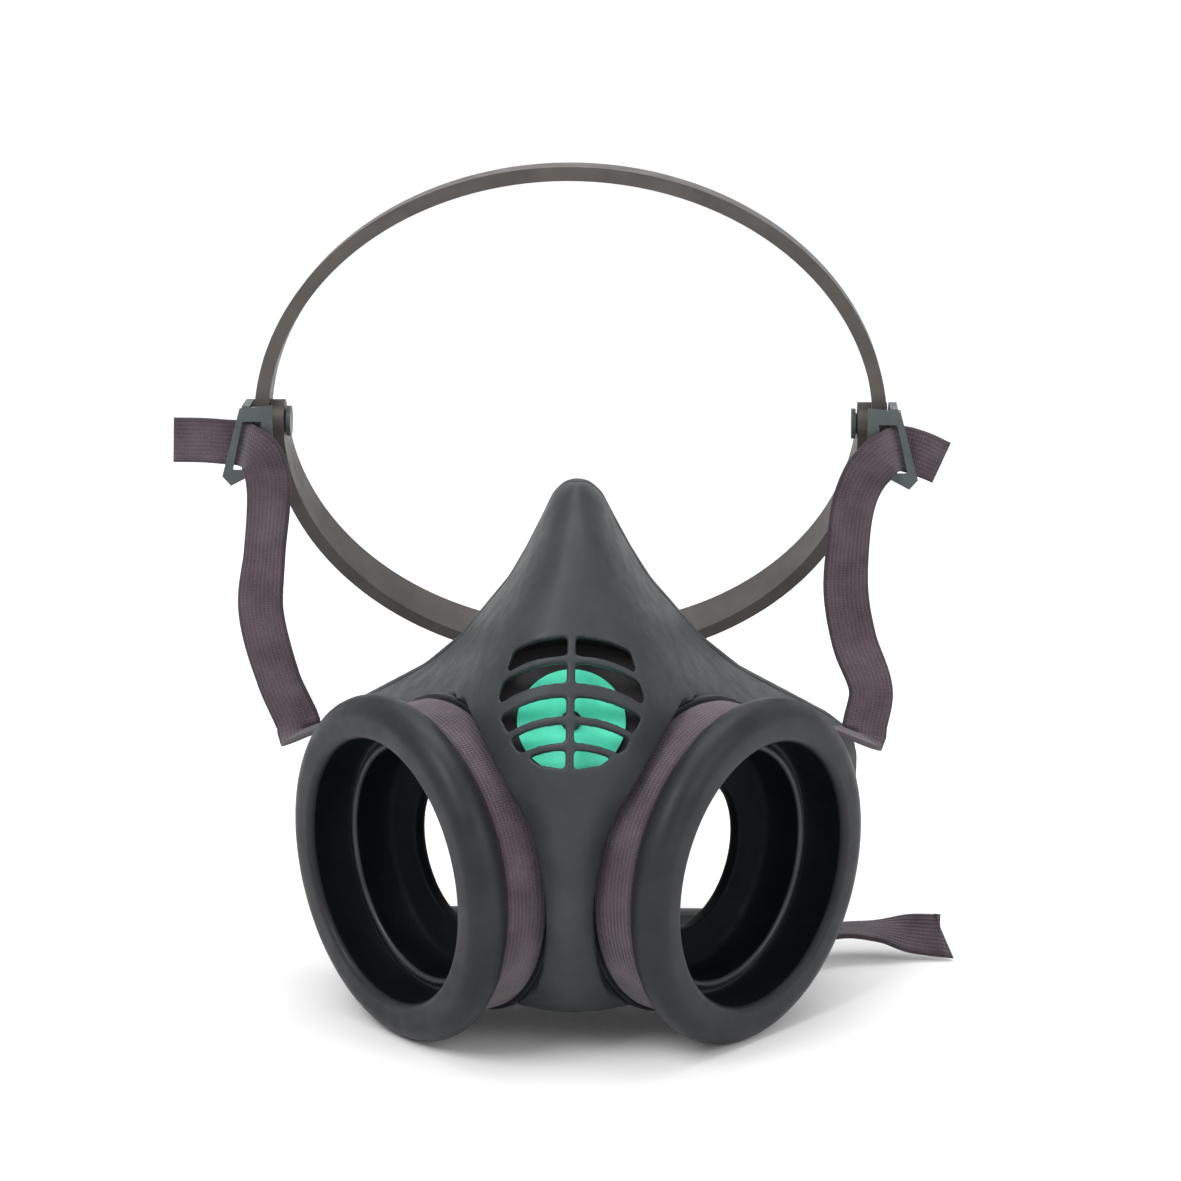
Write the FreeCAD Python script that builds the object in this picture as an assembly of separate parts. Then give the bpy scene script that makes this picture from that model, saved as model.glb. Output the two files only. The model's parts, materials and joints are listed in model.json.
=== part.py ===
import FreeCAD, Part
import math
import os

# Half-mask respirator facepiece with head cradle and drop-down straps, in millimetres.
# The front faces -Y, +X is the viewer's right and +Z is up. Pieces are drawn about the facepiece,
# and the export moves everything by ORIGIN so that the origin is under the middle of the object.

V = FreeCAD.Vector
UP = V(0, 0, 1)
ORIGIN = V(4.7, -25.65, 0)

# Facepiece shell. Each level: height, half width, front, back, wedge (1 straight sides, 2 round),
# bulge (1 parabola, 2 ellipse).
SHELL_LEVELS = [
    (8.0, 31.0, -17.4, 22.6, 1.8, 1.4),
    (8.8, 33.6, -19.4, 24.4, 1.8, 1.4),
    (11.0, 38.5, -22.8, 27.6, 1.7, 1.35),
    (16.0, 47.0, -27.5, 34.0, 1.5, 1.2),
    (28.0, 59.0, -33.5, 42.0, 1.3, 1.0),
    (40.0, 63.3, -36.0, 46.0, 1.25, 1.0),
    (50.0, 64.0, -37.0, 47.0, 1.3, 1.0),
    (56.0, 62.0, -36.8, 46.8, 1.4, 1.1),
    (60.0, 57.0, -36.5, 46.0, 1.6, 1.25),
    (64.0, 50.0, -36.0, 45.0, 1.75, 1.4),
    (72.0, 36.5, -33.5, 41.5, 2.2, 1.7),
    (80.0, 27.8, -29.5, 37.0, 3.0, 2.0),
    (88.0, 22.0, -24.5, 31.5, 3.4, 2.2),
    (96.0, 16.1, -19.0, 26.5, 3.4, 2.3),
    (104.0, 11.8, -12.5, 22.0, 2.8, 2.2),
    (112.0, 8.0, -5.5, 18.0, 2.3, 2.1),
    (117.5, 5.6, 1.0, 14.8, 2.0, 2.0),
    (120.3, 3.2, 4.4, 12.6, 2.0, 2.0),
    (121.3, 1.2, 6.8, 10.6, 2.0, 2.0),
]
SHELL_WALL = 3.0
SECTION_STEPS = 12
SEAL_DEPTH = 5.0
SEAL_WIDTH = 6.0
SEAL_OPENING_LOW = 14.0
SEAL_OPENING_HIGH = 106.0

# Filter ports. Sizes along the port axis are measured back from the front of the rim.
PORT_X = 42.3
PORT_Y = -14.3
PORT_SPLAY_DEG = 53.0
PORT_DROOP_DEG = 3.5
RIM_R = 38.9
RIM_ROUND = 3.0
LIP_R = 29.7
LIP_ROUND = 1.2
RIM_DEPTH = 9.5
GROOVE_R = 33.6
GROOVE_END = 20.8
CHANNEL_R = 37.4
FLANGE_R = 35.8
PORT_DEPTH = 23.0
SOCKET_DEPTH = 11.0
CUP_R = 26.2
CUP_DEPTH = 20.0
BREATHING_R = 16.8
DROOP = math.radians(PORT_DROOP_DEG)
PORT_Z = RIM_R * math.cos(DROOP) - RIM_DEPTH / 2 * math.sin(DROOP)

# Exhalation valve. Its axis tilts up from the front, and depths are measured in from the shell's skin.
VALVE_Y = -28.9
VALVE_Z = 81.0
VALVE_TILT_DEG = 30.0
SHIELD = [(0.0, 15.0), (12.2, 13.4), (15.4, 3.0), (15.3, -1.6), (11.6, -9.4), (6.5, -13.4), (0.0, -14.8)]
GUARD_SCALE = 1.13
GUARD_SKIN = 2.0
GUARD_ROWS = [(14.8, 10.4), (8.8, 4.2), (1.2, -3.2), (-4.8, -8.9), (-10.4, -14.8)]
ROW_ARC_R = 37.0
GUARD_BAR = 1.8
SEAT_FRONT = 9.6
SEAT_BACK = 11.4
TRAY_WALL = 1.2
DISC_R = 11.7
DISC_LOW = 2.0
DISC_THICK = 1.0
SEAT_HOLE_R = 10.3
HUB_R = 3.0
SPOKE_WIDTH = 1.6
STEM_R = 1.2
STEM_CLEARANCE = 0.05
VALVE_TRAVEL = 1.3

# Elastic strap
STRAP_WIDTH = 10.5
STRAP_THICK = 1.3
STRAP_LEAVES_DEG = 22.0
STRAP_SECTION_GAP = 6.0
FOLD = V(-64.8, 37.2, 57.0)

# Head cradle and its swivel on the buckles. The harness hangs a little to the left of the facepiece.
HARNESS_SHIFT = V(-3.0, 0, 0)
PIVOT_Y = 58.0
PIVOT_Z = 126.5
BAND_WIDTH = 10.0
BAND_THICK = 3.2
BAND_GAP = 0.4
CROWN_HALF = 73.0
CROWN_RISE = 59.6
NAPE_DROP = 69.0
NAPE_TILT_DEG = 28.0
STUD_R = 2.4
STUD_CLEARANCE = 0.05
STUD_HEAD_R = 3.5
STUD_HEAD = 1.0
LUG_THICK = 1.8
LUG_R = 5.0
PLATE_FRONT = 48.3
PLATE_THICK = 1.4
# Corners of the left buckle's plate and strap slot: distance out from the harness middle, height.
PLATE_CORNERS = [
    (68.3, 131.5),
    (75.8, 130.8),
    (80.0, 115.0),
    (78.0, 112.8),
    (73.5, 115.2),
    (68.3, 121.0),
]
SLOT_CORNERS = [(70.8, 127.8), (75.1, 127.8), (77.6, 116.4), (72.6, 116.4)]
NECK_LOW = 128.0


def polar(radius, angle_deg):
    angle = math.radians(angle_deg)
    return radius * math.cos(angle), radius * math.sin(angle)


def port_axis():
    forward, side = polar(1.0, PORT_SPLAY_DEG)
    level, drop = polar(1.0, PORT_DROOP_DEG)
    return V(-side * level, -forward * level, -drop)


AXIS = port_axis()
PORT_CENTRE = V(-PORT_X, PORT_Y, PORT_Z)
PORT_SIDE = V(-math.cos(math.radians(PORT_SPLAY_DEG)), math.sin(math.radians(PORT_SPLAY_DEG)), 0)
PORT_UP = PORT_SIDE.cross(AXIS)

VALVE_AXIS = V(0, -math.cos(math.radians(VALVE_TILT_DEG)), math.sin(math.radians(VALVE_TILT_DEG)))
VALVE_UP = V(0, math.sin(math.radians(VALVE_TILT_DEG)), math.cos(math.radians(VALVE_TILT_DEG)))
VALVE_CENTRE = V(0, VALVE_Y, VALVE_Z)


def mirrored(shape):
    """The same piece on the other side."""
    return shape.mirror(V(0, 0, 0), V(1, 0, 0))


def wire(points):
    return Part.makePolygon(points + [points[0]])


def standing(shape, origin, x_axis, z_axis):
    """Stand a shape made about its own axes on the given origin and directions."""
    y_axis = z_axis.cross(x_axis)
    turn = FreeCAD.Rotation(x_axis, y_axis, z_axis, "ZXY")
    shape.Placement = FreeCAD.Placement(origin, turn).multiply(shape.Placement)
    return shape


# ---------------------------------------------------------------- facepiece

def shell_section(level, inset):
    """A level outline of the shell: a smooth front and a straight back, drawn in by inset."""
    height, half_width, front, back, wedge, bulge = level
    half_width -= inset
    front += inset
    back += inset
    points = []
    for step in range(SECTION_STEPS + 1):
        across = math.sin(math.pi * (step / SECTION_STEPS - 0.5))
        depth = max(0.0, 1 - abs(across) ** wedge) ** (1 / bulge)
        points.append(V(half_width * across, back - (back - front) * depth, height))
    curve = Part.BSplineCurve()
    curve.interpolate(points)
    return Part.Wire([curve.toShape(), Part.makeLine(points[-1], points[0])])


def shell_body(inset):
    """The shell's outer form drawn in by inset, running out through its back."""
    sections = []
    lowest = SHELL_LEVELS[0][0]
    highest = SHELL_LEVELS[-1][0]
    for level in SHELL_LEVELS:
        squeeze = (highest - lowest - 2 * inset) / (highest - lowest)
        height = lowest + inset + (level[0] - lowest) * squeeze
        sections.append(shell_section((height,) + level[1:], inset))
    return Part.makeLoft(sections, True, False)


def seal_slab(levels, inset, front, back):
    """A slab that follows the shell's back edge, from front to back behind it."""
    sections = []
    for level in levels:
        height, half_width, edge = level[0], level[1] - inset, level[3]
        sections.append(wire([
            V(-half_width, edge + front, height),
            V(half_width, edge + front, height),
            V(half_width, edge + back, height),
            V(-half_width, edge + back, height),
        ]))
    return Part.makeLoft(sections, True, True)


def face_seal():
    inner = [level for level in SHELL_LEVELS if SEAL_OPENING_LOW < level[0] < SEAL_OPENING_HIGH]
    slab = seal_slab(SHELL_LEVELS, 0, 0, SEAL_DEPTH)
    return slab.cut(seal_slab(inner, SEAL_WIDTH, -SEAL_DEPTH, 2 * SEAL_DEPTH))


# ---------------------------------------------------------------- filter ports

def port_point(radius, angle_deg, depth):
    """A point on the left port: angle from the top towards the cheek, depth behind the rim's front."""
    rise, side = polar(radius, angle_deg)
    return PORT_CENTRE + PORT_UP * rise + PORT_SIDE * side - AXIS * depth


def port_cylinder(radius, start, end):
    return Part.makeCylinder(radius, end - start, PORT_CENTRE - AXIS * end, AXIS)


def filter_port():
    """Turned port: flat-faced rim, strap groove, flange, breathing hole, cup, seat ledge and socket."""
    def at(radius, depth):
        return V(radius, 0, -depth)

    shoulder = at(RIM_R - RIM_ROUND, 0)
    brow = at(LIP_R + LIP_ROUND, 0)
    lip = at(LIP_R, LIP_ROUND)
    rim_outer = Part.Arc(at(RIM_R - 2, RIM_DEPTH), at(RIM_R, RIM_DEPTH / 2), shoulder)
    rim_inner = Part.Arc(brow, at(LIP_R + 0.3 * LIP_ROUND, 0.3 * LIP_ROUND), lip)
    corners = [
        lip,
        at(LIP_R, SOCKET_DEPTH),
        at(CUP_R, SOCKET_DEPTH),
        at(CUP_R, CUP_DEPTH),
        at(BREATHING_R, CUP_DEPTH),
        at(BREATHING_R, PORT_DEPTH),
        at(FLANGE_R, PORT_DEPTH),
        at(FLANGE_R, GROOVE_END),
        at(GROOVE_R, GROOVE_END),
        at(GROOVE_R, RIM_DEPTH),
        at(RIM_R - 2, RIM_DEPTH),
    ]
    edges = [rim_outer.toShape(), Part.makeLine(shoulder, brow), rim_inner.toShape()]
    edges += [Part.makeLine(a, b) for a, b in zip(corners, corners[1:])]
    outline = Part.Wire(Part.sortEdges(edges)[0])
    return standing(Part.Face(outline).revolve(V(), UP, 360), PORT_CENTRE, PORT_UP, AXIS)


# ---------------------------------------------------------------- exhalation valve

def valve_point(across, up, depth):
    return VALVE_CENTRE + V(across, 0, 0) + VALVE_UP * up - VALVE_AXIS * depth


def shield_prism(scale, inset, front, back):
    """A prism along the valve axis with the guard's shield outline."""
    half = [(max(0.0, x * scale - inset), y * scale - math.copysign(inset, y)) for x, y in SHIELD]
    outline = half + [(-x, y) for x, y in reversed(half[1:-1])]
    face = Part.Face(wire([valve_point(x, y, back) for x, y in outline]))
    return face.extrude(VALVE_AXIS * (back - front))


def valve_cylinder(radius, front, back, up=-DISC_LOW):
    return Part.makeCylinder(radius, back - front, valve_point(0, up, back), VALVE_AXIS)


def guard_slots():
    """Five arched rows, each divided by the middle bar."""
    reach = 14.0
    opening = shield_prism(1.0, 0, -reach, reach)
    bar = Part.makeBox(GUARD_BAR, 4 * reach, 8 * reach, V(-GUARD_BAR / 2, VALVE_Y - reach, VALVE_Z - 4 * reach))
    rows = []
    for top, bottom in GUARD_ROWS:
        upper = valve_cylinder(ROW_ARC_R, -reach, reach, top - ROW_ARC_R)
        lower = valve_cylinder(ROW_ARC_R, -reach, reach, bottom - ROW_ARC_R)
        rows.append(opening.common(upper).cut(lower).cut(bar))
    return rows


def valve_seat():
    """Dished seat behind the guard: a tray whose floor carries a three-armed spider and a hub."""
    reach = 6.0
    tray = shield_prism(GUARD_SCALE, 0, -reach, SEAT_BACK).common(shell_body(GUARD_SKIN))
    tray = tray.cut(shield_prism(GUARD_SCALE, TRAY_WALL, -reach, SEAT_FRONT))
    tray = tray.cut(valve_cylinder(SEAT_HOLE_R, SEAT_FRONT - 1, SEAT_BACK + 1))
    spider = valve_cylinder(HUB_R, SEAT_FRONT, SEAT_BACK)
    for turn in (90, 210, 330):
        arm = Part.makeBox(SEAT_HOLE_R + 0.5, SPOKE_WIDTH, SEAT_BACK - SEAT_FRONT, V(0, -SPOKE_WIDTH / 2, 0))
        arm.rotate(V(), UP, turn)
        spider = spider.fuse(standing(arm, valve_point(0, -DISC_LOW, SEAT_BACK), V(1, 0, 0), VALVE_AXIS))
    hole = valve_cylinder(STEM_R + STEM_CLEARANCE, SEAT_FRONT - 1, SEAT_BACK + 1)
    return tray.fuse(spider).cut(hole)


def valve_disc():
    back = SEAT_FRONT - 0.05
    disc = valve_cylinder(DISC_R, back - DISC_THICK, back)
    return disc.cut(valve_cylinder(STEM_R, 0, SEAT_BACK))


def valve_button():
    """Dark button in front of the disc, its stem through the hub and the barb that stops it."""
    front = SEAT_FRONT - 0.05 - DISC_THICK
    barb_front = SEAT_BACK + VALVE_TRAVEL + 0.2
    barb = Part.makeCone(0.6, 2.1, 1.8, valve_point(0, -DISC_LOW, barb_front + 1.8), VALVE_AXIS)
    button = valve_cylinder(2.2, front - 0.8, front)
    return button.fuse(valve_cylinder(STEM_R, front, barb_front)).fuse(barb)


# ---------------------------------------------------------------- straps

def strap(stations):
    """Flat strap along a smooth curve through stations of centre and width direction."""
    curve = Part.BSplineCurve()
    curve.interpolate([centre for centre, across in stations])
    knots = [curve.parameter(centre) for centre, across in stations]
    sections = []
    for leg in range(len(stations) - 1):
        leg_length = (stations[leg + 1][0] - stations[leg][0]).Length
        steps = max(2, round(leg_length / STRAP_SECTION_GAP))
        end_too = 1 if leg == len(stations) - 2 else 0
        for step in range(steps + end_too):
            share = step / steps
            place = knots[leg] + (knots[leg + 1] - knots[leg]) * share
            across = stations[leg][1] * (1 - share) + stations[leg + 1][1] * share
            along = curve.tangent(place)[0]
            face = along.cross(across).normalize()
            across = face.cross(along) * (STRAP_WIDTH / 2)
            face = face * (STRAP_THICK / 2)
            centre = curve.value(place)
            sections.append(wire([
                centre + across + face,
                centre - across + face,
                centre - across - face,
                centre + across - face,
            ]))
    return Part.makeLoft(sections, True, False)


def wrap_strap():
    """The strap from under the left port round its groove, then straight on to the fold behind the rim."""
    inner = GROOVE_R + 0.1
    middle = (RIM_DEPTH + GROOVE_END) / 2
    low = -middle - STRAP_WIDTH / 2
    high = -middle + STRAP_WIDTH / 2
    outer = inner + STRAP_THICK
    face = Part.Face(wire([V(-inner, 0, low), V(-outer, 0, low), V(-outer, 0, high), V(-inner, 0, high)]))
    turned = standing(face.revolve(V(), UP, 180 + STRAP_LEAVES_DEG), PORT_CENTRE, PORT_UP, AXIS)
    leave = port_point(inner + STRAP_THICK / 2, STRAP_LEAVES_DEG, middle)
    return turned.fuse(strap([
        (leave, AXIS),
        (leave * 0.55 + FOLD * 0.45, AXIS),
        (FOLD, V(-0.9, -0.1, -0.42)),
    ]))


def riser_and_tail(route, tail_start):
    """One side strap from the fold up through the buckle, parted at tail_start from the middle."""
    whole = strap(route)
    size = 2 * PIVOT_Z
    inside = Part.makeBox(tail_start, size, size, V(-tail_start, -PIVOT_Z, 0))
    return whole.common(inside), whole.cut(inside)


# From the fold up the side, turning outwards in front of the buckle, through its slot and behind the bar.
LEFT_RISER_ROUTE = [
    (V(-65.2, 38.4, 59.0), V(0.9, 0, 0.42)),
    (V(-70.0, 41.2, 69.0), V(0.9, -0.1, 0.3)),
    (V(-74.2, 45.0, 84.0), V(1, 0.1, 0)),
    (V(-73.4, 47.0, 97.0), V(1, -0.3, 0)),
    (V(-72.3, 47.4, 109.0), V(1, -0.2, 0)),
    (V(-72.4, 47.0, 115.5), V(0.9, 0, 0.45)),
    (V(-74.0, 46.8, 120.2), V(0.5, 0, 0.87)),
    (V(-75.8, 47.2, 121.6), V(0.3, 0, 0.95)),
    (V(-77.4, 49.2, 122.2), V(0.25, 0, 0.97)),
    (V(-79.4, 51.2, 122.4), V(0.25, 0, 0.97)),
    (V(-82.5, 51.8, 122.5), V(0.25, 0, 0.97)),
    (V(-88.0, 52.2, 122.8), V(0.1, 0, 1)),
    (V(-94.5, 51.4, 123.0), UP),
]
LEFT_TAIL_START = 82.6
# The right side strap, drawn on the left and mirrored.
RIGHT_RISER_ROUTE = [
    (V(-65.2, 38.5, 59.3), V(0.9, 0, 0.42)),
    (V(-66.6, 41.0, 67.5), V(0.9, -0.1, 0.3)),
    (V(-62.8, 44.5, 78.0), V(1, 0, -0.1)),
    (V(-60.8, 47.0, 89.0), V(1, -0.1, 0)),
    (V(-61.2, 47.8, 101.0), V(1, -0.3, 0)),
    (V(-62.4, 47.5, 110.0), V(1, -0.2, -0.1)),
    (V(-65.0, 46.9, 116.5), V(0.85, 0, -0.2)),
    (V(-68.4, 46.8, 120.4), V(0.5, 0, 0.6)),
    (V(-69.8, 47.2, 121.4), V(0.3, 0, 0.95)),
    (V(-71.4, 49.2, 122.0), V(0.25, 0, 0.97)),
    (V(-73.4, 51.2, 121.9), V(0.25, 0, 0.97)),
    (V(-76.5, 51.8, 121.0), V(0.25, 0, 0.97)),
    (V(-79.5, 52.1, 119.8), V(0.3, 0, 0.95)),
    (V(-82.5, 51.8, 118.5), V(0.35, 0, 0.94)),
]
RIGHT_TAIL_START = 76.6


def neck_strap(route):
    """From under the left port: flat in the groove, then standing on its edge along the floor."""
    leave = port_point(GROOVE_R + 0.1 + STRAP_THICK / 2, 180, (RIM_DEPTH + GROOVE_END) / 2)
    stations = [(leave + PORT_SIDE * 0.2, AXIS), (leave + PORT_SIDE * 5, AXIS)]
    return strap(stations + route)


LEFT_NECK_ROUTE = [
    (V(-38.5, 11.0, 4.2), V(-0.82, -0.5, 0)),
    (V(-44.5, 24.0, 4.0), V(-0.9, -0.35, 0.1)),
    (V(-50.0, 38.0, 5.0), V(-0.6, -0.3, 0.7)),
    (V(-53.5, 51.0, 5.6), UP),
    (V(-47.5, 61.5, 5.6), UP),
    (V(-37.0, 61.0, 5.6), UP),
    (V(-33.0, 52.0, 5.6), UP),
    (V(-38.0, 45.5, 5.6), UP),
]
# The right strap's route, drawn on the left and mirrored: it runs out sideways and its end twists up.
RIGHT_NECK_ROUTE = [
    (V(-38.5, 11.0, 4.2), V(-0.82, -0.5, 0)),
    (V(-42.5, 24.0, 3.8), V(-0.9, -0.35, 0.1)),
    (V(-46.0, 37.0, 4.6), V(-0.75, -0.6, 0.1)),
    (V(-52.0, 47.0, 6.0), V(-0.45, -0.9, 0)),
    (V(-61.0, 51.5, 6.6), V(-0.1, -1, 0)),
    (V(-70.0, 52.2, 6.3), V(0, -1, -0.2)),
    (V(-77.5, 52.2, 5.8), V(0, -0.7, -0.7)),
    (V(-85.0, 52.0, 5.3), V(0.1, -0.5, -0.85)),
]


# ---------------------------------------------------------------- buckles and head cradle

def pivot_cylinder(radius, start, end):
    """A cylinder on the swivel axis of the left side, between two distances from the middle."""
    return Part.makeCylinder(radius, end - start, V(-end, PIVOT_Y, PIVOT_Z), V(1, 0, 0))


LUG_START = CROWN_HALF + BAND_GAP
LUG_END = LUG_START + LUG_THICK
NAPE_HALF = CROWN_HALF - BAND_THICK - BAND_GAP


def buckle():
    """Three-cornered plate with one strap slot and an outer bar, on a lug behind it."""
    def outline(corners):
        face = Part.Face(wire([V(-x, PLATE_FRONT, z) for x, z in corners]))
        return face.extrude(V(0, PLATE_THICK, 0))

    neck_start = V(-LUG_END, PLATE_FRONT, NECK_LOW)
    neck = Part.makeBox(LUG_THICK, PIVOT_Y - PLATE_FRONT, PIVOT_Z + LUG_R - NECK_LOW, neck_start)
    lug = pivot_cylinder(LUG_R, LUG_START, LUG_END)
    whole = outline(PLATE_CORNERS).cut(outline(SLOT_CORNERS)).fuse(neck).fuse(lug)
    return whole.cut(pivot_cylinder(STUD_R, 0, LUG_END + 1)).removeSplitter()


def swivel_stud():
    """Stud with a low head outside the lug and a flat head inside the bands."""
    inner_face = NAPE_HALF - BAND_THICK - BAND_GAP
    shank = pivot_cylinder(STUD_R, inner_face, LUG_END)
    inner_head = pivot_cylinder(STUD_HEAD_R, inner_face - STUD_HEAD, inner_face)
    outer_head = pivot_cylinder(STUD_R + 0.8, LUG_END, LUG_END + 1)
    return shank.fuse(inner_head).fuse(outer_head)


def cradle_band(half_width, rise, direction):
    """Half an elliptical hoop standing off the swivel axis along direction, with round drilled ends."""
    outer = Part.Ellipse(V(), half_width, rise).toShape()
    inner = Part.Ellipse(V(), half_width - BAND_THICK, rise - BAND_THICK).toShape()
    ring = Part.Face(Part.Wire(outer)).cut(Part.Face(Part.Wire(inner)))
    hoop = ring.extrude(V(0, 0, BAND_WIDTH))
    keep = Part.makeBox(2 * half_width + 2, rise + 1, BAND_WIDTH, V(-half_width - 1, 0, 0))
    hoop = hoop.common(keep)
    across = V(1, 0, 0).cross(direction)
    middle = V(0, PIVOT_Y, PIVOT_Z) - across * (BAND_WIDTH / 2)
    band = standing(hoop, middle, V(1, 0, 0), across)
    end = pivot_cylinder(BAND_WIDTH / 2, half_width - BAND_THICK, half_width)
    band = band.fuse(end).fuse(mirrored(end))
    return band.cut(pivot_cylinder(STUD_R + STUD_CLEARANCE, -half_width - 1, half_width + 1))


# ---------------------------------------------------------------- assembly

def build():
    """All pieces by name, about the facepiece."""
    outer = shell_body(0)
    past = SHELL_WALL * 2
    valve_room = shield_prism(GUARD_SCALE, 0, -past, SEAT_BACK)
    wrap = wrap_strap()
    port_room = port_cylinder(FLANGE_R, -past, PORT_DEPTH)
    port_room = port_room.fuse(port_cylinder(CHANNEL_R, -past, GROOVE_END))
    both_ports = port_room.fuse(mirrored(port_room))
    shell = outer.cut(shell_body(SHELL_WALL)).cut(both_ports).cut(valve_room)
    shell = shell.cut(wrap).cut(mirrored(wrap))
    guard = valve_room.common(outer).cut(shell_body(GUARD_SKIN)).cut(both_ports)
    for row in guard_slots():
        guard = guard.cut(row)
    port = filter_port().cut(valve_room)
    left_riser, left_tail = riser_and_tail(LEFT_RISER_ROUTE, LEFT_TAIL_START)
    right_riser, right_tail = riser_and_tail(RIGHT_RISER_ROUTE, RIGHT_TAIL_START)
    nape_lean = math.radians(NAPE_TILT_DEG)
    nape_direction = V(0, math.sin(nape_lean), -math.cos(nape_lean))
    cradle = {
        "left_buckle": buckle(),
        "right_buckle": mirrored(buckle()),
        "left_swivel_stud": swivel_stud(),
        "right_swivel_stud": mirrored(swivel_stud()),
        "crown_band": cradle_band(CROWN_HALF, CROWN_RISE, UP),
        "nape_band": cradle_band(NAPE_HALF, NAPE_DROP, nape_direction),
    }
    for piece in cradle.values():
        piece.translate(HARNESS_SHIFT)
    return {
        "facepiece_shell": shell,
        "face_seal": face_seal().cut(outer),
        "left_filter_port": port,
        "right_filter_port": mirrored(port),
        "valve_guard": guard,
        "valve_seat": valve_seat().cut(both_ports),
        "valve_disc": valve_disc(),
        "valve_button": valve_button(),
        "left_wrap_strap": wrap,
        "right_wrap_strap": mirrored(wrap),
        "left_riser_strap": left_riser,
        "right_riser_strap": mirrored(right_riser),
        "left_strap_tail": left_tail,
        "right_strap_tail": mirrored(right_tail),
        "left_neck_strap": neck_strap(LEFT_NECK_ROUTE),
        "right_neck_strap": mirrored(neck_strap(RIGHT_NECK_ROUTE)),
        **cradle,
    }


os.makedirs("parts", exist_ok=True)
for name, piece in build().items():
    piece.translate(ORIGIN)
    print(name, len(piece.Solids), piece.isValid(), round(piece.Volume))
    piece.exportStep("parts/" + name + ".step")
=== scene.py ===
import json
import math

import bmesh
import bpy
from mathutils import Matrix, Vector


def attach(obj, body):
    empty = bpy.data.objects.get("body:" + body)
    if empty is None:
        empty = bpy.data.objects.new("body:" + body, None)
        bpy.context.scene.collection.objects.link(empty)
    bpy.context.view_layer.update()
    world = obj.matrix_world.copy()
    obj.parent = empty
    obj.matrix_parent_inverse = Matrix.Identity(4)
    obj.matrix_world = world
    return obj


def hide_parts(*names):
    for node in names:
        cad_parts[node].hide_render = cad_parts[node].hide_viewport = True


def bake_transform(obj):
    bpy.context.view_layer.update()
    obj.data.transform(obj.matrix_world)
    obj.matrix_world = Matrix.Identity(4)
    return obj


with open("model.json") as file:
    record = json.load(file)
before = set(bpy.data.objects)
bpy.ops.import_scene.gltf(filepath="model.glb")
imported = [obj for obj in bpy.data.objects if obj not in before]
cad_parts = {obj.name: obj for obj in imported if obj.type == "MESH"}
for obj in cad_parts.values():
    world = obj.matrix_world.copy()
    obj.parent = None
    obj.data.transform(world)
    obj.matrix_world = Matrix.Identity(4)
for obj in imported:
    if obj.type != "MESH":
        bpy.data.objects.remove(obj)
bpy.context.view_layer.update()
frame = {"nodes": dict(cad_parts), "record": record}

# A half-mask respirator: rubber facepiece, woven elastic straps and a plastic head cradle.
NODES = frame["nodes"]
MOUNTS = {mount["name"]: mount for mount in frame["record"]["mounts"]}

# The left port's axis and front centre, from its mount, which lies this far behind the rim's front.
MOUNT_DEPTH = 6.1
AXIS = Vector(MOUNTS["left_cartridge_port"]["axis"])
PORT = Vector(MOUNTS["left_cartridge_port"]["pos_m"]) + AXIS * MOUNT_DEPTH / 1000
RIGHT_PORT = MOUNTS["right_cartridge_port"]["pos_m"]
MIDDLE_X = (MOUNTS["left_cartridge_port"]["pos_m"][0] + RIGHT_PORT[0]) / 2
PORT_Y = -14.3
PORT_SIDE = Vector((AXIS.y, -AXIS.x, 0)).normalized()
PORT_UP = PORT_SIDE.cross(AXIS)


def place(x, y, z):
    """A point given in millimetres about the facepiece, in the row frame."""
    return Vector((MIDDLE_X + x / 1000, PORT.y + (y - PORT_Y) / 1000, z / 1000))


def mirror(point):
    return Vector((2 * MIDDLE_X - point.x, point.y, point.z))


# ---------------------------------------------------------------- camera, light and floor

AIM = place(3.4, 0, 99.0)
VIEW_SIDE_DEG = 1.8
VIEW_RISE_DEG = 12.0
VIEW_DISTANCE = 0.9
VIEW_WIDTH = 0.2587
SENSOR = 36.0
CLIP_START = 0.01
LIT_POINT = Vector((0, 0, 0.08))
WORLD_STRENGTH = 0.75
FLOOR_FRONT = -3.0
FLOOR_FLAT = 1.2
FLOOR_CURVE = 0.8
FLOOR_HEIGHT = 2.5
FLOOR_HALF = 4.0
FLOOR_STEPS = 12
FLOOR_SHADE = 0.9


def add_camera():
    side = math.radians(VIEW_SIDE_DEG)
    rise = math.radians(VIEW_RISE_DEG)
    back = Vector((math.sin(side) * math.cos(rise), -math.cos(side) * math.cos(rise), math.sin(rise)))
    data = bpy.data.cameras.new("camera")
    data.sensor_width = SENSOR
    data.lens = SENSOR * VIEW_DISTANCE / VIEW_WIDTH
    data.clip_start = CLIP_START
    camera = bpy.data.objects.new("camera", data)
    bpy.context.collection.objects.link(camera)
    camera.location = AIM + back * VIEW_DISTANCE
    camera.rotation_euler = (-back).to_track_quat("-Z", "Y").to_euler()
    bpy.context.scene.camera = camera


def add_light(name, spot, size, power):
    data = bpy.data.lights.new(name, "AREA")
    data.size = size
    data.energy = power
    light = bpy.data.objects.new(name, data)
    bpy.context.collection.objects.link(light)
    light.location = spot
    light.rotation_euler = (LIT_POINT - Vector(spot)).to_track_quat("-Z", "Y").to_euler()


def new_material(name):
    material = bpy.data.materials.new(name)
    material.use_nodes = True
    tree = material.node_tree
    return material, tree, tree.nodes["Principled BSDF"]


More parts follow.
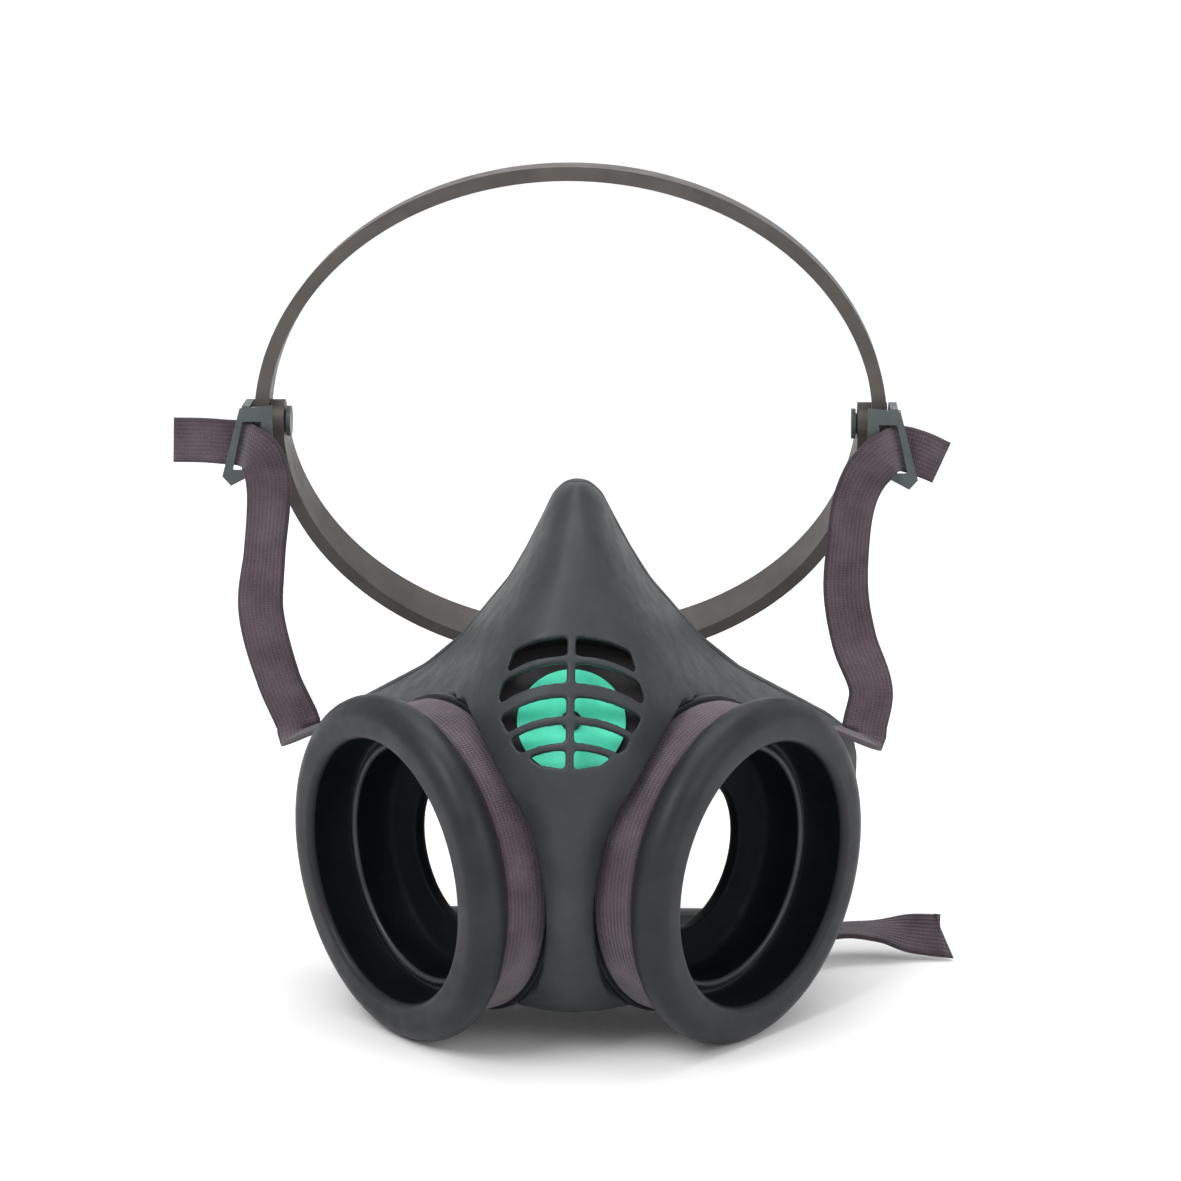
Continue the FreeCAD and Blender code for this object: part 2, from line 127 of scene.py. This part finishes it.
def add_floor():
    """A pale sweep: flat under the object, curving up far behind it."""
    profile = [(FLOOR_FRONT, 0.0), (FLOOR_FLAT, 0.0)]
    for step in range(1, FLOOR_STEPS + 1):
        turn = math.pi / 2 * step / FLOOR_STEPS
        profile.append((FLOOR_FLAT + FLOOR_CURVE * math.sin(turn), FLOOR_CURVE * (1 - math.cos(turn))))
    profile.append((FLOOR_FLAT + FLOOR_CURVE, FLOOR_HEIGHT))
    verts = [(side * FLOOR_HALF, y, z) for y, z in profile for side in (-1, 1)]
    faces = [(2 * i, 2 * i + 1, 2 * i + 3, 2 * i + 2) for i in range(len(profile) - 1)]
    mesh = bpy.data.meshes.new("floor")
    mesh.from_pydata(verts, [], faces)
    mesh.shade_smooth()
    floor = bpy.data.objects.new("floor", mesh)
    bpy.context.collection.objects.link(floor)
    material, tree, shader = new_material("floor_white")
    shader.inputs["Base Color"].default_value = (FLOOR_SHADE, FLOOR_SHADE, FLOOR_SHADE, 1)
    shader.inputs["Roughness"].default_value = 0.9
    shader.inputs["Specular IOR Level"].default_value = 0.1
    mesh.materials.append(material)


def add_world():
    world = bpy.data.worlds.new("studio")
    world.use_nodes = True
    background = world.node_tree.nodes["Background"]
    background.inputs["Color"].default_value = (1, 1, 1, 1)
    background.inputs["Strength"].default_value = WORLD_STRENGTH
    bpy.context.scene.world = world
    bpy.context.scene.view_settings.view_transform = "Standard"


add_camera()
add_world()
add_floor()
add_light("key", (-0.7, -0.9, 1.3), 0.8, 14)
add_light("fill", (1.0, -0.8, 0.7), 0.9, 6)
add_light("top", (0.0, 0.3, 1.5), 1.2, 12)


# ---------------------------------------------------------------- materials

class Nodes:
    """Short ways to add and join shader nodes in one material."""

    def __init__(self, tree):
        self.tree = tree

    def add(self, kind, **settings):
        node = self.tree.nodes.new(kind)
        for key, value in settings.items():
            setattr(node, key, value)
        return node

    def join(self, source, target):
        self.tree.links.new(source, target)

    def noise(self, scale, detail, coordinates):
        node = self.add("ShaderNodeTexNoise")
        node.inputs["Scale"].default_value = scale
        node.inputs["Detail"].default_value = detail
        self.join(coordinates, node.inputs["Vector"])
        return node.outputs["Fac"]

    def math(self, operation, first, second):
        node = self.add("ShaderNodeMath", operation=operation)
        for socket, value in zip(node.inputs, (first, second)):
            if isinstance(value, (int, float)):
                socket.default_value = value
            else:
                self.join(value, socket)
        return node.outputs[0]

    def spread(self, value, low, high, low_out, high_out):
        """Value from low to high becomes low_out to high_out."""
        node = self.add("ShaderNodeMapRange")
        self.join(value, node.inputs["Value"])
        for socket, number in zip(list(node.inputs)[1:5], (low, high, low_out, high_out)):
            socket.default_value = number
        return node.outputs["Result"]

    def mix(self, share, first, second):
        node = self.add("ShaderNodeMix", data_type="RGBA")
        self.join(share, node.inputs[0])
        for socket, colour in zip(node.inputs[6:8], (first, second)):
            if isinstance(colour, tuple):
                socket.default_value = (*colour, 1)
            else:
                self.join(colour, socket)
        return node.outputs[2]

    def bump(self, shader, height, distance):
        node = self.add("ShaderNodeBump")
        node.inputs["Distance"].default_value = distance
        self.join(height, node.inputs["Height"])
        self.join(node.outputs["Normal"], shader.inputs["Normal"])


# Noise scales, per metre, and the webbing's yarn spacing in metres.
CLOUDS = 90.0
SILICONE_CLOUDS = 160.0
SHEEN_PATCHES = 240.0
SCUFFS = 420.0
GRAIN = 2600.0
LINT = 5200.0
STRAP_PATCHES = 130.0
RIB_PITCH = 0.00095
PICK_PITCH = 0.00062
STRAP_WIDTH = 10.5
STRAP_THICK = 1.3


def moulded(name, dark, light, roughness, grain, mottle=CLOUDS, wear=0.0, gloss=0.35):
    """Moulded rubber or plastic: cloudy colour, fine grain, uneven sheen and paler handling wear."""
    material, tree, shader = new_material(name)
    nodes = Nodes(tree)
    spot = nodes.add("ShaderNodeTexCoord").outputs["Object"]
    clouds = nodes.noise(mottle, 4.0, spot)
    colour = nodes.mix(nodes.spread(clouds, 0.3, 0.7, 0.0, 1.0), dark, light)
    if wear:
        scuffs = nodes.spread(nodes.noise(SCUFFS, 6.0, spot), 0.56, 0.74, 0.0, wear)
        colour = nodes.mix(scuffs, colour, tuple(min(1.0, 2.2 * channel + 0.02) for channel in light))
    nodes.join(colour, shader.inputs["Base Color"])
    sheen = nodes.noise(SHEEN_PATCHES, 3.0, spot)
    nodes.join(nodes.spread(sheen, 0.3, 0.7, roughness - 0.06, roughness + 0.08), shader.inputs["Roughness"])
    nodes.bump(shader, nodes.noise(GRAIN, 2.0, spot), grain)
    shader.inputs["Specular IOR Level"].default_value = gloss
    return material


def webbing(name, dark, light):
    """Narrow woven elastic: lengthwise rubber ribs crossed by fine yarns, darker selvedges and lint."""
    width = STRAP_WIDTH / 1000
    material, tree, shader = new_material(name)
    nodes = Nodes(tree)
    coordinates = nodes.add("ShaderNodeTexCoord")
    split = nodes.add("ShaderNodeSeparateXYZ")
    nodes.join(coordinates.outputs["UV"], split.inputs[0])
    across, along = split.outputs["X"], split.outputs["Y"]
    ribs = nodes.math("SINE", nodes.math("MULTIPLY", across, math.tau / RIB_PITCH), 0)
    weave_phase = nodes.math("ADD", nodes.math("MULTIPLY", along, math.tau / PICK_PITCH),
                             nodes.math("MULTIPLY", ribs, 1.3))
    picks = nodes.math("SINE", weave_phase, 0)
    height = nodes.math("ADD", nodes.math("MULTIPLY", ribs, 0.55), nodes.math("MULTIPLY", picks, 0.45))
    fuzz = nodes.noise(LINT, 3.0, coordinates.outputs["Object"])
    height = nodes.math("ADD", height, nodes.math("MULTIPLY", fuzz, 0.9))
    patches = nodes.noise(STRAP_PATCHES, 3.0, coordinates.outputs["Object"])
    uneven = nodes.math("ADD", patches, nodes.math("MULTIPLY", height, 0.14))
    shade = nodes.spread(uneven, 0.3, 0.85, 0.0, 1.0)
    colour = nodes.mix(shade, dark, light)
    edge = nodes.math("ABSOLUTE", nodes.math("SUBTRACT", across, width / 2), 0)
    selvedge = nodes.spread(edge, width * 0.40, width * 0.47, 0.0, 0.55)
    colour = nodes.mix(selvedge, colour, tuple(channel * 0.45 for channel in dark))
    nodes.join(colour, shader.inputs["Base Color"])
    shader.inputs["Roughness"].default_value = 0.92
    shader.inputs["Specular IOR Level"].default_value = 0.15
    shader.inputs["Sheen Weight"].default_value = 0.25
    shader.inputs["Sheen Roughness"].default_value = 0.5
    nodes.bump(shader, height, 0.00012)
    return material


SHELL = moulded("facepiece_rubber", (0.022, 0.026, 0.028), (0.033, 0.037, 0.039), 0.47, 0.00004,
                wear=0.04, gloss=0.28)
# The port rim: the facepiece's own rubber given a darker colour, painted shade.
RIM_PAINTED_SHADE = moulded("port_rubber_painted_shade", (0.013, 0.014, 0.017), (0.021, 0.022, 0.026), 0.42, 0.00003,
              wear=0.03, gloss=0.2)
# The port's inside: the same rubber painted near black, a painted shade for the deep socket.
SOCKET_PAINTED_SHADE = moulded("socket_rubber_painted_shade", (0.0015, 0.003, 0.004), (0.003, 0.005, 0.007), 0.55, 0.00003, gloss=0.08)
# The socket's bead: paler than the rubber around it, a painted highlight along the ledge.
BEAD_PAINTED_HIGHLIGHT = moulded("bead_rubber_painted_highlight", (0.020, 0.025, 0.029), (0.034, 0.041, 0.046), 0.36, 0.00002)
SEAT = moulded("seat_plastic", (0.004, 0.004, 0.005), (0.008, 0.008, 0.009), 0.5, 0.00002)
DISC = moulded("disc_silicone", (0.07, 0.80, 0.50), (0.12, 0.95, 0.64), 0.32, 0.00001, mottle=SILICONE_CLOUDS)
CRADLE = moulded("cradle_plastic", (0.048, 0.042, 0.038), (0.075, 0.066, 0.059), 0.45, 0.00003, wear=0.08)
BUCKLE = moulded("buckle_plastic", (0.040, 0.050, 0.050), (0.066, 0.080, 0.079), 0.4, 0.00002, wear=0.12)
ELASTIC = webbing("strap_elastic", (0.048, 0.034, 0.042), (0.110, 0.082, 0.097))


# ---------------------------------------------------------------- mesh helpers

RIBBON_GAP = 0.0011
RIBBON_COLUMNS = 10
TURN_STEPS = 144


def add_mesh(name, verts, faces, uvs, materials, slots=None):
    """A smooth mesh with UVs in metres, one per face corner in face order, and a material slot per face."""
    mesh = bpy.data.meshes.new(name)
    mesh.from_pydata([tuple(v) for v in verts], [], faces)
    layer = mesh.uv_layers.new(name="UVMap")
    for loop, uv in zip(layer.data, uvs):
        loop.uv = uv
    for material in materials:
        mesh.materials.append(material)
    if slots:
        mesh.polygons.foreach_set("material_index", slots)
    mesh.validate()
    mesh.update()
    mesh.shade_smooth()
    piece = bpy.data.objects.new(name, mesh)
    bpy.context.collection.objects.link(piece)
    return piece


def smooth_path(points, gap):
    """Points about gap apart on a smooth curve through the given tuples of numbers (place first)."""
    lengths = [0.0]
    for a, b in zip(points, points[1:]):
        lengths.append(lengths[-1] + (Vector(b[:3]) - Vector(a[:3])).length)

    def slope(i):
        low, high = max(i - 1, 0), min(i + 1, len(points) - 1)
        span = lengths[high] - lengths[low]
        return [(q - p) / span for p, q in zip(points[low], points[high])]

    found = []
    for i in range(len(points) - 1):
        span = lengths[i + 1] - lengths[i]
        steps = max(2, round(span / gap))
        start, end = slope(i), slope(i + 1)
        for step in range(steps):
            t = step / steps
            from_start = 2 * t**3 - 3 * t**2 + 1
            start_pull = (t**3 - 2 * t**2 + t) * span
            to_end = 3 * t**2 - 2 * t**3
            end_pull = (t**3 - t**2) * span
            found.append([from_start * a + start_pull * u + to_end * b + end_pull * v
                          for a, u, b, v in zip(points[i], start, points[i + 1], end)])
    found.append(list(points[-1]))
    return found


def ribbon(name, route, width, thick, materials, cut=0.0):
    """A flat strap with rounded edges along route, a list of (place, width direction). UVs are in metres.
    cut slants its far end, as a share of the width."""
    path = smooth_path([(*spot, *across) for spot, across in route], RIBBON_GAP)
    spots = [Vector(p[:3]) for p in path]
    edge = thick / 2
    half = width / 2 - edge
    flat = [(-half + 2 * half * i / RIBBON_COLUMNS, edge) for i in range(RIBBON_COLUMNS + 1)]
    turns = (math.pi / 4, math.pi / 2, 3 * math.pi / 4)
    cap = [(half + edge * math.sin(turn), edge * math.cos(turn)) for turn in turns]
    section = flat + cap + [(x, -y) for x, y in reversed(flat)] + [(-x, -y) for x, y in cap]
    around = len(section)
    verts, rows = [], []
    travelled = 0.0
    for i, spot in enumerate(spots):
        along = (spots[min(i + 1, len(spots) - 1)] - spots[max(i - 1, 0)]).normalized()
        face = along.cross(Vector(path[i][3:])).normalized()
        across = face.cross(along)
        if i:
            travelled += (spot - spots[i - 1]).length
        rows.append(travelled)
        slant = cut * width if i == len(spots) - 1 else 0.0
        for x, y in section:
            drift = along * (slant * (x / width))
            verts.append(spot + across * x + face * y + drift)
    faces, uvs = [], []
    for i in range(len(spots) - 1):
        for j in range(around):
            k = (j + 1) % around
            faces.append((i * around + j, i * around + k, (i + 1) * around + k, (i + 1) * around + j))
            for row, column in ((i, j), (i, k), (i + 1, k), (i + 1, j)):
                uvs.append((section[column][0] + width / 2, rows[row]))
    last = (len(spots) - 1) * around
    for ring in (tuple(reversed(range(around))), tuple(range(last, last + around))):
        faces.append(ring)
        uvs.extend((section[column % around][0] + width / 2, 0.0) for column in ring)
    return add_mesh(name, verts, faces, uvs, materials)


def turned(name, profile, centre, axis, up, materials, slots):
    """A ring turned about axis from a closed profile of (radius, depth behind the front) in millimetres."""
    side = up.cross(axis)
    verts = []
    for step in range(TURN_STEPS):
        turn = math.tau * step / TURN_STEPS
        out = up * math.cos(turn) + side * math.sin(turn)
        verts += [centre + out * (radius / 1000) - axis * (depth / 1000) for radius, depth in profile]
    count = len(profile)
    faces, uvs, face_slots = [], [], []
    for i in range(TURN_STEPS):
        for j in range(count):
            k = (j + 1) % count
            n = (i + 1) % TURN_STEPS
            faces.append((i * count + j, i * count + k, n * count + k, n * count + j))
            face_slots.append(slots[j])
            for sector, corner in ((i, j), (i, k), (i + 1, k), (i + 1, j)):
                radius, depth = profile[corner]
                uvs.append((depth / 1000, radius / 1000 * math.tau * sector / TURN_STEPS))
    return add_mesh(name, verts, faces, uvs, materials, face_slots)


# ---------------------------------------------------------------- filter ports

RIM_R = 38.9
LIP_R = 29.7
GROOVE_R = 33.6
FLANGE_R = 35.8
RIM_DEPTH = 9.5
GROOVE_END = 20.8
PORT_DEPTH = 23.0
SOCKET_DEPTH = 11.0
CUP_R = 26.2
CUP_DEPTH = 20.0
BREATHING_R = 16.8


def arc(centre, radius, start_deg, end_deg, steps):
    """Points (radius, depth) on a round corner."""
    found = []
    for step in range(steps + 1):
        turn = math.radians(start_deg + (end_deg - start_deg) * step / steps)
        found.append((centre[0] + radius * math.cos(turn), centre[1] + radius * math.sin(turn)))
    return found


def add_port(side, flip):
    """Rolled rubber rim with its strap groove outside, and inside it the socket, ledge, cup and hole."""
    outside = arc((RIM_R - RIM_DEPTH / 2, RIM_DEPTH / 2), RIM_DEPTH / 2, -90, 90, 20)
    outside += [(GROOVE_R + 0.5, RIM_DEPTH), (GROOVE_R, RIM_DEPTH + 0.5), (GROOVE_R, GROOVE_END - 0.5)]
    outside += [(GROOVE_R + 0.5, GROOVE_END)] + arc((FLANGE_R - 0.6, GROOVE_END + 0.6), 0.6, -90, 0, 4)
    outside += [(FLANGE_R, PORT_DEPTH)]
    inside = [(BREATHING_R + 0.5, PORT_DEPTH)] + arc((BREATHING_R + 0.7, PORT_DEPTH - 0.9), 0.7, 90, 180, 3)
    inside += arc((BREATHING_R + 0.7, CUP_DEPTH + 0.7), 0.7, 180, 270, 3)
    inside += [(CUP_R - 1.5, CUP_DEPTH), (CUP_R, CUP_DEPTH - 1.5), (CUP_R, SOCKET_DEPTH + 0.5)]
    bead = arc((CUP_R + 0.8, SOCKET_DEPTH - 0.3), 0.8, 180, 360, 8)
    socket = [(LIP_R - 0.6, SOCKET_DEPTH), (LIP_R, SOCKET_DEPTH - 0.6), (LIP_R, 2.6)]
    lip = arc((LIP_R + 1.6, 1.6), 1.6, 180, 270, 6)
    profile = outside + inside + bead + socket + lip
    # Slot colours: the rim darker than the shell as painted shade, the inside near black as painted shade,
    # the bead paler as a painted highlight.
    slots = [0] * len(outside) + [1] * len(inside) + [2] * len(bead) + [1] * len(socket) + [0] * len(lip)
    centre, axis, up = PORT, AXIS, PORT_UP
    if flip:
        centre = mirror(PORT)
        axis = Vector((-AXIS.x, AXIS.y, AXIS.z))
        up = Vector((-PORT_UP.x, PORT_UP.y, PORT_UP.z))
    port = turned(side + "_port", profile, centre, axis, up, (RIM_PAINTED_SHADE, SOCKET_PAINTED_SHADE, BEAD_PAINTED_HIGHLIGHT), slots)
    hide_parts(side + "_filter_port")
    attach(port, "facepiece")


add_port("left", False)
add_port("right", True)


# ---------------------------------------------------------------- straps

STRAP_LEAVES_DEG = 22.0
WRAP_MIDDLE = (RIM_DEPTH + GROOVE_END) / 2
WRAP_R = GROOVE_R + 0.1 + STRAP_THICK / 2
WRAP_STEPS = 24
FOLD = (-64.8, 37.2, 57.0)
RIGHT_END_SLANT = 0.5

LEFT_RISER_ROUTE = [
    ((-65.2, 38.4, 59.0), (0.9, 0, 0.42)),
    ((-70.0, 41.2, 69.0), (0.9, -0.1, 0.3)),
    ((-74.2, 45.0, 84.0), (1, 0.1, 0)),
    ((-73.4, 47.0, 97.0), (1, -0.3, 0)),
    ((-72.3, 47.4, 109.0), (1, -0.2, 0)),
    ((-72.4, 47.0, 115.5), (0.9, 0, 0.45)),
    ((-74.0, 46.8, 120.2), (0.5, 0, 0.87)),
    ((-75.8, 47.2, 121.6), (0.3, 0, 0.95)),
    ((-77.4, 49.2, 122.2), (0.25, 0, 0.97)),
    ((-79.4, 51.2, 122.4), (0.25, 0, 0.97)),
    ((-82.5, 51.8, 122.5), (0.25, 0, 0.97)),
    ((-88.0, 52.2, 122.8), (0.1, 0, 1)),
    ((-94.5, 51.4, 123.0), (0, 0, 1)),
]
RIGHT_RISER_ROUTE = [
    ((-65.2, 38.5, 59.3), (0.9, 0, 0.42)),
    ((-66.6, 41.0, 67.5), (0.9, -0.1, 0.3)),
    ((-62.8, 44.5, 78.0), (1, 0, -0.1)),
    ((-60.8, 47.0, 89.0), (1, -0.1, 0)),
    ((-61.2, 47.8, 101.0), (1, -0.3, 0)),
    ((-62.4, 47.5, 110.0), (1, -0.2, -0.1)),
    ((-65.0, 46.9, 116.5), (0.85, 0, -0.2)),
    ((-68.4, 46.8, 120.4), (0.5, 0, 0.6)),
    ((-69.8, 47.2, 121.4), (0.3, 0, 0.95)),
    ((-71.4, 49.2, 122.0), (0.25, 0, 0.97)),
    ((-73.4, 51.2, 121.9), (0.25, 0, 0.97)),
    ((-76.5, 51.8, 121.0), (0.25, 0, 0.97)),
    ((-79.5, 52.1, 119.8), (0.3, 0, 0.95)),
    ((-82.5, 51.8, 118.5), (0.35, 0, 0.94)),
]
LEFT_NECK_ROUTE = [
    ((-38.5, 11.0, 4.2), (-0.82, -0.5, 0)),
    ((-44.5, 24.0, 4.0), (-0.9, -0.35, 0.1)),
    ((-50.0, 38.0, 5.0), (-0.6, -0.3, 0.7)),
    ((-53.5, 51.0, 5.6), (0, 0, 1)),
    ((-47.5, 61.5, 5.6), (0, 0, 1)),
    ((-37.0, 61.0, 5.6), (0, 0, 1)),
    ((-33.0, 52.0, 5.6), (0, 0, 1)),
    ((-38.0, 45.5, 5.6), (0, 0, 1)),
]
RIGHT_NECK_ROUTE = [
    ((-38.5, 11.0, 4.2), (-0.82, -0.5, 0)),
    ((-42.5, 24.0, 3.8), (-0.9, -0.35, 0.1)),
    ((-46.0, 37.0, 4.6), (-0.75, -0.6, 0.1)),
    ((-52.0, 47.0, 6.0), (-0.45, -0.9, 0)),
    ((-61.0, 51.5, 6.6), (-0.1, -1, 0)),
    ((-70.0, 52.2, 6.3), (0, -1, -0.2)),
    ((-77.5, 52.2, 5.8), (0, -0.7, -0.7)),
    ((-85.0, 52.0, 5.3), (0.1, -0.5, -0.85)),
]


def groove_point(angle_deg):
    """The middle of the strap in the left port's groove, at an angle from the top towards the cheek."""
    turn = math.radians(angle_deg)
    out = PORT_UP * math.cos(turn) + PORT_SIDE * math.sin(turn)
    return PORT + out * (WRAP_R / 1000) - AXIS * (WRAP_MIDDLE / 1000)


def on_side(route, flip):
    """The left strap's route, or its mirror image."""
    if not flip:
        return route
    return [(mirror(spot), Vector((-across.x, across.y, across.z))) for spot, across in route]


def placed(stations):
    """Stations in millimetres about the facepiece, in the row frame."""
    return [(place(*spot), Vector(across)) for spot, across in stations]


def add_side_strap(side, risers, flip):
    """One length of elastic from under the port round its groove, up the side and through the buckle."""
    sweep = 180 + STRAP_LEAVES_DEG
    wrap = []
    for step in range(WRAP_STEPS + 1):
        wrap.append((groove_point(-180 + sweep * step / WRAP_STEPS), AXIS))
    fold = place(*FOLD)
    half_way = wrap[-1][0].lerp(fold, 0.5)
    route = wrap + [(half_way, AXIS), (fold, Vector((-0.9, -0.1, -0.42)))]
    route += [(spot, -across) for spot, across in placed(risers)]
    strap = ribbon(side + "_side_strap", on_side(route, flip), STRAP_WIDTH / 1000, STRAP_THICK / 1000,
                   (ELASTIC,))
    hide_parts(side + "_wrap_strap", side + "_riser_strap", side + "_strap_tail")
    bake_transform(strap)


def add_neck_strap(side, stations, flip, cut):
    """The end of the elastic from under the port along the floor, cut on a slant."""
    leave = groove_point(180)
    route = [(leave + PORT_SIDE * 0.0002, AXIS), (leave + PORT_SIDE * 0.005, AXIS)] + placed(stations)
    strap = ribbon(side + "_neck_webbing", on_side(route, flip), STRAP_WIDTH / 1000, STRAP_THICK / 1000,
                   (ELASTIC,), cut=cut)
    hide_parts(side + "_neck_strap")
    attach(strap, "facepiece")


add_side_strap("left", LEFT_RISER_ROUTE, False)
add_side_strap("right", RIGHT_RISER_ROUTE, True)
add_neck_strap("left", LEFT_NECK_ROUTE, False, 0.0)
add_neck_strap("right", RIGHT_NECK_ROUTE, True, RIGHT_END_SLANT)


# ---------------------------------------------------------------- frame parts kept from the CAD

FINISH = {
    "valve_seat": SEAT,
    "valve_disc": DISC,
    "valve_button": SEAT,
    "left_buckle": BUCKLE,
    "right_buckle": BUCKLE,
    "left_swivel_stud": BUCKLE,
    "right_swivel_stud": BUCKLE,
    "crown_band": CRADLE,
    "nape_band": CRADLE,
}
BUCKLE_EDGE = 0.00035
BAND_EDGE = 0.0009


def soften(node, width):
    """Round a moulded part's sharp edges."""
    bevel = node.modifiers.new("soft_edges", "BEVEL")
    bevel.width = width
    bevel.segments = 3
    bevel.limit_method = "ANGLE"
    bevel.angle_limit = math.radians(50)


for name, finish in FINISH.items():
    node = NODES[name]
    node.data.materials.clear()
    node.data.materials.append(finish)
for name in ("left_buckle", "right_buckle", "left_swivel_stud", "right_swivel_stud"):
    soften(NODES[name], BUCKLE_EDGE)
for name in ("crown_band", "nape_band"):
    soften(NODES[name], BAND_EDGE)


# ---------------------------------------------------------------- soft mouldings made from the CAD's shapes

def add_soft_moulding(name, node_names, grain, rounds):
    """One rubber moulding in the CAD nodes' shape, remade as an even mesh and relaxed to round its edges."""
    joined = bmesh.new()
    for node_name in node_names:
        joined.from_mesh(NODES[node_name].data)
    mesh = bpy.data.meshes.new(name)
    joined.to_mesh(mesh)
    joined.free()
    piece = bpy.data.objects.new(name, mesh)
    bpy.context.collection.objects.link(piece)
    remesh = piece.modifiers.new("even_mesh", "REMESH")
    remesh.mode = "VOXEL"
    remesh.voxel_size = grain
    relax = piece.modifiers.new("relaxed", "SMOOTH")
    relax.factor = 0.5
    relax.iterations = rounds
    ready = piece.evaluated_get(bpy.context.evaluated_depsgraph_get())
    piece.data = bpy.data.meshes.new_from_object(ready)
    piece.modifiers.clear()
    piece.data.materials.clear()
    piece.data.materials.append(SHELL)
    piece.data.shade_smooth()
    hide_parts(*node_names)
    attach(piece, "facepiece")


add_soft_moulding("facepiece_rubber_body", ("facepiece_shell", "valve_guard"), 0.0004, 8)
add_soft_moulding("seal_rubber", ("face_seal",), 0.0006, 25)
